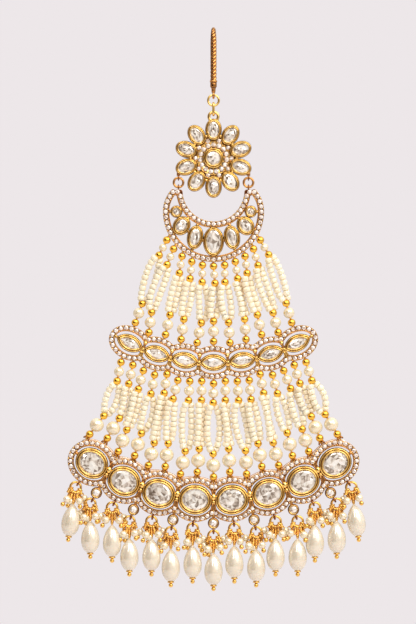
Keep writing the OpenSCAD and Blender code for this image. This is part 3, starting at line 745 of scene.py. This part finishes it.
def crescent():
    f = Form()
    rim(f, outer_rim, -0.88, 0.14, 0.35, closed=False)
    rim(f, inner_rim, 0.88, 0.14, 0.35, closed=False)
    stone_row(f, stone_places(outer_rim(0), 0.2))
    stone_row(f, stone_places(inner_rim(0), 1.2))
    cx, cy = CRESCENT
    for side in (-1, 1):
        for x, y, w, l, lean in CRESCENT_BEZELS:
            line = oval((cx + side * x, cy + y), l, w, side * lean)
            wall = 0.5 if w == l else 0.76
            bezel(f, line, wall)
            cut(f, line, wall - 0.06, BEZEL - 0.12, 8, int(40 + side * 3 + x * 2))
        for x, y in SOLDER:
            f.stud((cx + side * x, cy + y), -0.1, 0.5, 12, 8, wear=0.45)
        f.stud((side * 10.05, cy + 5.25), -0.25, 0.98, 16, 10, squash=0.75, mat=COPPER, wear=0.6)
        small_stone(f, (side * 10.05, cy + 5.5), 0.66, 0.36)
        eye(f, (side * SIDE_X, SIDE_Y - SIDE_R))
    line = oval((0, cy - 8.45), 7.95, 5.6)
    bezel(f, line, 0.7)
    cut(f, line, 0.64, BEZEL - 0.12, 10, 3)
    f.object("crescent_settings", "crescent", METALS, "gold", ["crescent_frame", "crescent_stones"])


# Strands
# How far each strand leans off its own line at the top and at the foot
UPPER_LEANS = [(-6, 1), (-6, 9), (3, -1), (2, 0), (3, -8), (5, 0), (-3, 0), (0, -4), (-5, 0), (-1, -2),
               (9, -5)]
LOWER_LEANS = [(12, -14), (7, -12), (2, -4), (3, -3), (3, -3), (-6, 1), (2, -6), (2, -2), (-1, 1), (-3, 0),
               (-2, -3), (-3, 1), (-1, 2), (1, -1), (4, -1), (-2, 2), (-6, 8)]
# Angles from strand to strand at the crescent, at the bar's upper and lower edge and at the base
CRESCENT_STEP, BAR_TOP_STEP, BAR_FOOT_STEP, BASE_STEP = 11.7, 5.5, 3.25, 4.9
SEAT = GOLD_D / 2 + GAP


def bar_at(r, a):
    return polar(BAR, BAR_R + r, a)


def base_at(r, a):
    return polar(BASE, BASE_R + r, a)


def bar_seat(a, side):
    return polar(BAR, scallop_edge(BAR_R, MARQUISES, BAR_PITCH, [h + RIM_W / 2 for h in BAR_SCALLOP], a, side)
                 + side * SEAT, a)


def base_seat(a):
    steep = abs(a) > BASE_END
    edge = base_edge(FLANGE_END if steep else FLANGE, a)
    return polar(BASE, edge - SEAT - (SLOPE_LIFT if steep else 0), a)


def strand(upper, k):
    """Middle of a strand's first and last bead, its direction at each, and the widths of its two pearls."""
    leans = UPPER_LEANS if upper else LOWER_LEANS
    j = middle_out(k, len(leans))
    if upper:
        top = polar(CRESCENT, CRESCENT_R + RIM_W / 2 + SEAT, CRESCENT_STEP * j)
        foot = bar_seat(BAR_TOP_STEP * j, -1)
    else:
        top, foot = bar_seat(BAR_FOOT_STEP * j, 1), base_seat(BASE_STEP * j)
    line = heading(top, foot)
    lean = leans[k - 1]
    small, big = (2.25, 3.15) if upper else (2.85, 4.0)
    return top, aim(line + lean[0]), foot, aim(line + lean[1]), small, big


def string_point(s, t):
    """Centre line between a strand's two strings; a little before 0 and past 1 it runs on straight."""
    top, top_d, foot, foot_d, small, big = s
    p0 = top + top_d * (GOLD_D + small + 2 * BEAD_GAP + GOLD_D / 2 + 2 * BEAD_GAP)
    p3 = foot - foot_d * (GOLD_D + big + 2 * BEAD_GAP + GOLD_D / 2 + 2 * BEAD_GAP)
    length = np.linalg.norm(p3 - p0)
    if t < 0:
        return p0 + top_d * t * length
    if t > 1:
        return p3 + foot_d * (t - 1) * length
    pull = length / 3
    p1, p2, u = p0 + top_d * pull, p3 - foot_d * pull, 1 - t
    return u ** 3 * p0 + 3 * u * u * t * p1 + 3 * u * t * t * p2 + t ** 3 * p3


# How far each strand's two strings bow to its left and right; closed pairs lie one behind the other
UPPER_BOWS = [(-1.4, 1.6), (-1.25, 1.35), (-1.1, 0.7), (-1.05, 1.05), (-1.1, 1.4), (-1.0, 1.15), (-1.4, 1.2),
              (-0.4, 0.2), (-1.0, 0.65), (-1.4, 0.7), (-1.65, 0.95)]
LOWER_BOWS = [(-2.0, 1.15), (-0.7, 1.25), (-0.6, 1.1), (-1.05, 1.6), (-0.9, -0.1), (-1.0, 1.1), (-1.7, 1.05),
              (-0.7, 0.2), (-1.6, 1.95), (-0.1, 0.4), (-1.85, 1.3), (-1.0, 1.2), (-0.1, 0.2), (-1.35, 1.35),
              (-1.25, 1.2), (-1.4, 0.8), (-1.2, 2.1)]
# Levels at which strings are placed, how far they run on at both ends, and half their distance there
LEVELS, OVERRUN, SPLAY = 25, 0.07, 0.74
# Section of a seed pearl, in parts of its radius and of the pitch, and how much of the tan crevice colour
# each point gets: painted shade at its ends, where it meets its neighbours
SEED_PITCH, SEED_SIDES = 1.45, 14
BARREL = [(0.14, 0.49), (0.6, 0.49), (0.83, 0.42), (0.95, 0.27), (1, 0), (0.95, -0.27), (0.83, -0.42),
          (0.6, -0.49), (0.14, -0.49)]
BARREL_SHADE = [1, 0.85, 0.4, 0, 0, 0, 0.4, 0.85, 1]
BEAD_STEPS = 13


def string_lines(row, bows):
    """Places of every string at even levels; strings that would meet are moved apart in depth."""
    n = 2 * len(row)
    r = random.Random(3)
    deep = np.array([0.3 * (-1) ** i + 0.1 * (r.random() - 0.5) for i in range(n)])
    out = []
    for level in range(LEVELS):
        t = -OVERRUN + (1 + 2 * OVERRUN) * (level / (LEVELS - 1))
        swell = max(0.0, sin(pi * min(1, max(0, t)))) ** 0.55
        flat = []
        for s, bow in zip(row, bows):
            p = string_point(s, t)
            way = unit(string_point(s, t + 0.01) - string_point(s, t - 0.01))
            across = square(way) * (1 if way[1] < 0 else -1)
            for side, off in zip((-1, 1), bow):
                flat.append(p + across * (side * SPLAY * (1 - swell) + off * swell))
        flat = np.array(flat)
        # Pushes neighbours apart until none touch, and lets all sink back a little each time
        for _ in range(80):
            for i in range(n):
                for j in range(i + 1, min(n, i + 4)):
                    dx = np.linalg.norm(flat[i] - flat[j])
                    if dx >= SEED_D:
                        continue
                    need = sqrt(SEED_D ** 2 - dx ** 2)
                    dz = deep[i] - deep[j]
                    if abs(dz) < need:
                        push = (need - abs(dz)) / 2 * (1 if dz >= 0 else -1)
                        deep[i] += push
                        deep[j] -= push
            deep *= 0.995
        out.append(np.column_stack([flat, deep]))
    return np.array(out)


def bead_profile(r, hole):
    """Section of a pierced bead: the dimple at each hole and the round between them."""
    lo = asin(min(0.9, hole / r))
    ts = np.linspace(lo, pi - lo, BEAD_STEPS)
    return [(0.6 * hole, r * cos(lo) - 0.12), *[(r * sin(t), r * cos(t)) for t in ts],
            (0.6 * hole, -r * cos(lo) + 0.12)]


def strands(upper):
    golds, pearls, seeds = Form(), Form(), Form()
    bows = UPPER_BOWS if upper else LOWER_BOWS
    n = len(bows)
    row = [strand(upper, k) for k in range(1, n + 1)]
    # Gold beads are darker at both ends, in the dimples round their holes: painted shade
    bead_hole_shade = np.repeat([1.0, 0.8] + [0.05] * (BEAD_STEPS - 2) + [0.8, 1.0], 22)
    for top, top_d, foot, foot_d, small, big in row:
        for p, d, size in ((top, top_d, small), (foot, -foot_d, big)):
            step = (GOLD_D + size) / 2 + BEAD_GAP
            axis = (*d, 0)
            for i in (0, 2):
                golds.lathe((*(p + d * step * i), 0), bead_profile(GOLD_D / 2, 0.3), axis, 22, wear=bead_hole_shade)
            pearls.lathe((*(p + d * step), 0), bead_profile(size / 2, 0.26), axis, 24)
            golds.tube([(*(p - d * 1.9), 0), (*(p + d * (2 * step + 1.0)), 0)], 0.26, 8, wear=0.15)
    lines = string_lines(row, bows)
    for i in range(2 * n):
        line = lines[:, i]
        run = run_along(line)
        count = round((run[-1] - 0.1) / SEED_PITCH)
        pitch = run[-1] / count
        for j in range(count):
            d = pitch * (j + 0.5)
            at = [np.array([np.interp(v, run, w) for w in line.T]) for v in (d - 0.4, d, d + 0.4)]
            axis = unit(at[2] - at[0]) + 0.16 * (np.array([rng.random() for _ in range(3)]) - 0.5)
            size = SEED_D / 2 * (0.97 + 0.07 * rng.random())
            seeds.lathe(at[1], [(size * r, pitch * h) for r, h in BARREL], axis, SEED_SIDES,
                        wear=np.repeat(BARREL_SHADE, SEED_SIDES))
    word = "upper" if upper else "lower"
    golds.object(word + "_gold_beads", "crescent", [bead_gold], "strand_beads",
                 ["%s_strand_%d" % (word, k) for k in range(1, n + 1)])
    pearls.object(word + "_pearls", "crescent", [ivory], "pearl")
    seeds.object(word + "_seed_pearls", "crescent", [seed], "seed_pearl", [word + "_seed_strings"])


# Bar and base
def end_struts(form, c, r, angle, start, end, z, radius, mat):
    """Short wires from the two last bezels to the rim."""
    for side in (-1, 1):
        p, d = polar(c, r, side * angle), beside(side * angle) * side
        form.tube([(*(p + d * start), z), (*(p + d * end), z)], radius, mat=mat, wear=0.4)


def bar():
    f = Form()
    edge = scallop(BAR, BAR_R, MARQUISES, BAR_PITCH, BAR_SCALLOP)
    rim(f, edge, -0.84, 0.11, 0.3)
    stone_row(f, stone_places(edge(0)))
    for k in range(1, MARQUISES + 1):
        a = BAR_PITCH * middle_out(k, MARQUISES)
        line = almond(bar_at(0, a), MARQUISE, a)
        bezel(f, line, 0.85)
        cut(f, line, 0.8, BEZEL - 0.14, 8, 70 + k, lift=0.18)
    # Junction posts with two balls and three prongs each
    for k in range(1, MARQUISES):
        a = BAR_PITCH * middle_out(k, MARQUISES - 1)
        post(f, BAR, a, BAR_R - 3.2, BAR_R + 3.2, 0.8, 0.3)
        f.ball((*bar_at(-1.8, a), 0.45), 0.62, n=14, m=9)
        f.ball((*bar_at(0, a), 0.75), 0.45, n=12, m=8, wear=0.2)
        for s in (-1, 0, 1):
            f.strut(bar_at(0.5, a + s * 0.3), bar_at(2.4, a + s * 0.62), (0.75, 0.65, 0.3), 0.2, 7, wear=0.35)
    end_struts(f, BAR, BAR_R, BAR_END, 3.7, 5.0, 0.2, 0.42, GOLD)
    f.object("bar_settings", "crescent", METALS, "gold", ["bar_frame", "bar_stones"])


def drop_angle(k):
    return BASE_PITCH / 2 * middle_out(k, DROPS)


def under_bezel(k):
    """Every second drop hangs from a small round bezel, the others from the rim."""
    return k % 2 == 0


def eye_r(k):
    return SMALL_BEZEL_R + 1.475 + 0.62 if under_bezel(k) else BASE_R + BASE_SCALLOP[1] + RIM_W / 2 + 0.45


def base():
    f = Form()
    edge = scallop(BASE, BASE_R, OVALS, BASE_PITCH, BASE_SCALLOP, steps=20)
    rim(f, edge, -0.86, 0.13, 0.35)
    stone_row(f, stone_places(edge(0)))
    reach = BASE_END + 5.8
    flange = []
    for a in np.linspace(-reach, reach, 161):
        o = polar(BASE, base_edge(FLANGE_END if abs(a) > BASE_END else FLANGE, a), a)
        i = polar(BASE, base_edge(BASE_SCALLOP, a), a)
        u = (o - i) / max(1e-6, np.linalg.norm(o - i))
        flange.append([(*i, BACK + 0.06), (*(o - u * 0.1), BACK + 0.06), (*o, BACK + 0.2), (*o, -0.02),
                       (*(o - u * 0.1), 0.12), (*(o - u * 0.26), 0.16), (*i, 0.1)])
    # The flange's darkness: painted shade on its outer edge where it turns down, little on its top
    f.skin(flange, mat=PEACH, wear=np.tile([0.3, 0.4, 0.9, 0.9, 0.6, 0.05, 0.1], len(flange)))
    for k in range(1, OVALS + 1):
        a = BASE_PITCH * middle_out(k, OVALS)
        line = oval(base_at(0, a), 8.15, 9.25, a, n=72)
        bezel(f, line, 1.05, BEZEL + 0.3)
        cut(f, line, 1.0, BEZEL + 0.12, 13, 90 + k)
    # Junction posts with two balls and two pairs of prongs each
    for k in range(1, OVALS):
        a = BASE_PITCH * middle_out(k, OVALS - 1)
        post(f, BASE, a, BASE_R - 3.6, BASE_R + 3.6, 1.0, 0.35, wear=0.6)
        f.ball((*base_at(-0.95, a), 0.8), 0.78, squash=1.25)
        f.ball((*base_at(0.55, a), 0.75), 0.62, n=14, m=9, wear=0.3)
        for s in (-1, 1):
            f.strut(base_at(0.6, a + s * 0.25), base_at(3.1, a + s * 0.6),
                    (0.9, 0.75, 0.2), 0.26, 8, mat=COPPER, wear=0.55)
            f.strut(base_at(-3.2, a + s * 0.55), base_at(-1.3, a + s * 0.25),
                    (0.3, 0.6, 0.7), 0.22, 8, mat=COPPER, wear=0.7)
    end_struts(f, BASE, BASE_R, BASE_END, 4.3, 5.8, 0.1, 0.48, COPPER)
    for k in range(1, DROPS + 1):
        a = drop_angle(k)
        if under_bezel(k):
            c = polar(BASE, SMALL_BEZEL_R, a)
            # Small round bezel: painted shade on its outer wall, its crest undarkened
            f.band(oval(c, 3.05, 3.05, n=28), [(-0.1, BACK), (0.08, BACK + 0.12), (0.08, 0.5), (-0.06, 0.78),
                                               (-0.17, 0.84), (-0.3, 0.86), (-0.4, 0.7), (-0.4, FLOOR)],
                   wear=[1, 1, 1, 1, 0.7, 0.0, 0.3, 0.8])
            f.plate(oval(c, 2.3, 2.3, n=24), BACK, FLOOR + 0.05, mat=COPPER, wear=0.5)
            small_stone(f, c, 1.14, BEZEL - 0.9)
            post(f, BASE, a, 64.5, 66.3, 0.9, 0.35)
        eye(f, polar(BASE, eye_r(k), a), 0.72, 0.29, a, 0.85)
    # Small loops of the strands' threads where their last beads sit on the flange
    for k in range(1, len(LOWER_LEANS) + 1):
        _, _, foot, d, _, _ = strand(False, k)
        for side in (-1, 1):
            across = square(d) * side
            p = foot + d * 0.9 + across * 0.3
            q, tip = p + d * 0.35 + across * 0.25, p + d * 0.8 + across * 0.55
            f.tube([(*p, 0.25), (*q, 0.4), (*tip, 0.2)], [0.34, 0.32, 0.2], 8, mat=COPPER, wear=0.65)
    f.object("base_settings", "crescent", METALS + [flange_gold], "gold", ["base_frame", "base_stones"])


# Drops
# A drop's small pearls: x, y and depth from the middle of its ring, x and y of the ball below, and the angle
# at which the wire leaves the ring
CLUSTER = [(-1.75, -3.55, 0.9, -2.65, -5.05, -42), (1.75, -3.45, 1.0, 2.2, -4.95, 42),
           (-0.75, -4.3, -0.5, -1.1, -5.6, -14), (2.95, -3.0, -1.1, 3.5, -4.4, 60),
           (-3.0, -2.75, -1.0, -3.6, -4.2, -60)]
# Angles on the ring of the head pins' loops; the middle one is the teardrop's own
HEAD_LOOPS = [-72, -48, -23, 0, 23, 48, 72]
DROP_TOP, DROP_END, DROP_R = 4.75, 13.85, 2.62
# The cap on the teardrop's tip and the sleeve at its top
CAP = [(0.2, 0.05), (0.8, 0.14), (0.98, -0.1), (0.92, -0.24), (0.45, -0.34), (0.32, -0.5), (0.2, -0.6)]
SLEEVE = [(0.3, 0.1), (0.5, 0), (0.42, -0.4), (0.3, -0.8), (0.26, -1.2)]


def drop_profile(half):
    """Radius and height of a teardrop from its top down, widest below the middle."""
    return [(max(0.3, DROP_R / 0.893 * sin(u) * sin(u / 2) ** 0.42), half * cos(u))
            for u in np.linspace(0.1, pi - 0.12, 34)]


def wound_neck(form, start, way, length, big, wire, depth, wear):
    """A pin's end wound round itself."""
    side = square(way)
    count = length / (1.9 * wire)
    t = np.linspace(0, count * 2 * pi, max(8, int(count * 9)))
    path = [(*(start + way * length * x / t[-1] + side * big * cos(x)), depth + big * sin(x))
            for x in t]
    form.tube(path, wire, 6, wear=wear)


def drops():
    wire, pearls, small = Form(), Form(), Form()
    for k in range(1, DROPS + 1):
        c = polar(BASE, eye_r(k) + 1.45, drop_angle(k))
        lean = -8 if k == 1 else 8 if k == DROPS else 0
        down = aim(lean)
        right = square(down)
        r = random.Random(k)
        wire.torus((*c, 0), 1.48, 0.34, wear=0.1)
        half = (DROP_END - DROP_TOP) / 2
        hang = c + down * (DROP_TOP + half)
        axis = (*-down, 0)
        pearls.lathe((*hang, 0), drop_profile(half), axis, 36)
        tip = hang + down * half
        wire.lathe((*tip, 0), CAP, axis, 18, wear=0.15)
        wire.ball((*(tip + down * 0.98), 0), 0.62, wear=0.05)
        wound_neck(wire, c + down * 1.7, down, 2.2, 0.36, 0.19, 0.0, 0.2)
        wire.lathe((*(c + down * 3.9), 0), SLEEVE, axis, 12, wear=0.3)
        # Loops of all the pins hang side by side on the ring's lower half, each with its end wound below it
        for i, a in enumerate(HEAD_LOOPS):
            own = a == 0
            a += 6 * (r.random() - 0.5)
            d = aim(lean + a)
            p = c + d * (1.25 + 0.45 * cos(radians(a)))
            tone = 0.45 * r.random() ** 2
            wire.torus((*p, 0), 0.62, 0.22, (d[1], -d[0], 0.5 * (r.random() - 0.5)), 16, 8, wear=tone)
            if not own:
                wound_neck(wire, p + d * 0.25 + down * 0.3, aim(lean + 0.28 * a),
                           1.5 + 0.4 * r.random() - abs(a) / 120, 0.3, 0.2, 0.4 * (-1) ** i, tone)
        left_out = (False, False, k % 3 == 0, k % 2 == 0 or k == DROPS, k % 3 == 1)
        for (x, y, z, ball_x, ball_y, a), skip in zip(CLUSTER, left_out):
            if skip:
                continue
            jx, jy = 0.6 * (r.random() - 0.5), 0.6 * (r.random() - 0.5)
            z = z + 0.4 * (r.random() - 0.5)
            q = c + right * (x + jx) - down * (y + jy)
            ball = c + right * (ball_x + jx * 1.3) - down * (ball_y + jy * 1.1)
            d = unit(ball - q)
            start = c + aim(lean + a) * 2.6
            small.lathe((*q, z), bead_profile(1.02 + 0.1 * r.random(), 0.2), (*d, 0.1), 20)
            wire.tube([(*start, 0.3 * z), (*(q - d * 1.0), 0.9 * z), (*q, z), (*ball, z)], 0.15, 6, wear=0.3)
            wire.ball((*ball, z), 0.66, n=14, m=9, wear=0.05)
    wire.object("drop_wires", "crescent", [wire_gold], "drop_wire", ["drop_hangers"])
    small.object("drop_cluster_pearls", "crescent", [ivory], "pearl")
    pearls.object("drop_teardrops", "crescent", [drop_pearl], "pearl",
                  ["drop_pearl_%d" % k for k in range(1, DROPS + 1)])


hook()
links()
flower()
crescent()
strands(True)
strands(False)
bar()
base()
drops()


# Floor, light and camera, in metres
FLOOR_R, FLOOR_Z = 1.4, -0.42
LAMP_R, LAMP_Z, LAMP_AIM = 0.47, 0.30, (0, 0, -0.08)
PHOTO_W, PHOTO_H, MM_PER_PIXEL = 416, 624, 0.28
# The mount's place in the photograph, in pixels; the camera's distance and sensor, in millimetres
MOUNT_PIXEL = (213.5, 32.5)
CAMERA_MM, SENSOR = 1000.0, 36


def studio():
    scene = bpy.context.scene
    scene.view_settings.view_transform = "Standard"
    mesh = bpy.data.meshes.new("floor")
    ring = [(FLOOR_R * cos(t), FLOOR_R * sin(t), FLOOR_Z) for t in turns(64)]
    mesh.from_pydata(ring, [], [list(range(64))])
    m, _, s = nodes_of("pale floor")
    put(s, Base_Color=(0.83, 0.79, 0.80, 1), Roughness=0.8)
    mesh.materials.append(m)
    floor = add_object("floor", mesh)

    scene.world = bpy.data.worlds.new("studio")
    scene.world.use_nodes = True
    t = scene.world.node_tree
    t.nodes.clear()
    out = new(t, "OutputWorld")
    where = new(t, "TexCoord")

    def patch(direction, inner, outer):
        """1 within inner degrees of a direction, 0 beyond outer."""
        dot = new(t, "VectorMath")
        dot.operation = "DOT_PRODUCT"
        dot.inputs[1].default_value = Vector(direction).normalized()
        link(t, where.outputs["Generated"], dot.inputs[0])
        r = new(t, "MapRange")
        r.interpolation_type = "SMOOTHSTEP"
        put(r, From_Min=cos(radians(outer)), From_Max=cos(radians(inner)))
        link(t, dot.outputs["Value"], r.inputs["Value"])
        return r.outputs["Result"]

    # A pale room: bright overhead, warm at the left, dark brown in front on the left, and bright in front
    # above the camera's right
    colour = (0.60, 0.56, 0.52)
    for direction, inner, outer, tint in (((0.1, 0.1, 1), 20, 90, (1.05, 1.03, 1.0)),
                                          ((-1, -0.1, 0.05), 30, 62, (0.62, 0.52, 0.43)),
                                          ((-0.85, -1, 0.14), 24, 39, (0.05, 0.012, 0.005)),
                                          ((0.9, -1, 0.8), 12, 30, (2.2, 2.1, 2.0))):
        colour = mixed(t, patch(direction, inner, outer), colour, tint)
    light = new(t, "Background")
    link(t, colour, light.inputs["Color"])
    pale = new(t, "Background")
    put(pale, Color=(0.847, 0.799, 0.815, 1))
    seen = new(t, "LightPath")
    both = new(t, "MixShader")
    link(t, seen.outputs["Is Camera Ray"], both.inputs[0])
    link(t, light.outputs[0], both.inputs[1])
    link(t, pale.outputs[0], both.inputs[2])
    link(t, both.outputs[0], out.inputs[0])

    # Three tall soft boxes side by side, above and to the right, that streak the pearls
    for i, a in enumerate((-15, 20, 55)):
        data = bpy.data.lights.new("soft box %d" % (i + 1), "AREA")
        data.shape, data.size, data.size_y = "RECTANGLE", 0.12, 0.40
        data.energy, data.color = 0.78, (1.0, 0.98, 0.95)
        o = add_object(data.name, data)
        o.location = (LAMP_R * sin(radians(a)), -LAMP_R * cos(radians(a)), LAMP_Z)
        o.rotation_euler = (Vector(LAMP_AIM) - o.location).to_track_quat("-Z", "Y").to_euler()

    # The camera faces the jewel squarely and takes in the photograph's frame
    cam = bpy.data.cameras.new("camera")
    cam.sensor_width = SENSOR
    cam.lens = SENSOR * CAMERA_MM / (PHOTO_H * MM_PER_PIXEL)
    cam.clip_start, cam.clip_end = 0.05, 20
    o = add_object("camera", cam)
    x, z = (PHOTO_W / 2 - MOUNT_PIXEL[0]) * MM_PER_PIXEL, (MOUNT_PIXEL[1] - PHOTO_H / 2) * MM_PER_PIXEL
    o.location = (x * MM, (PLANE_Y - CAMERA_MM) * MM, z * MM)
    o.rotation_euler = (pi / 2, 0, 0)
    scene.camera = o


studio()
bpy.context.view_layer.update()
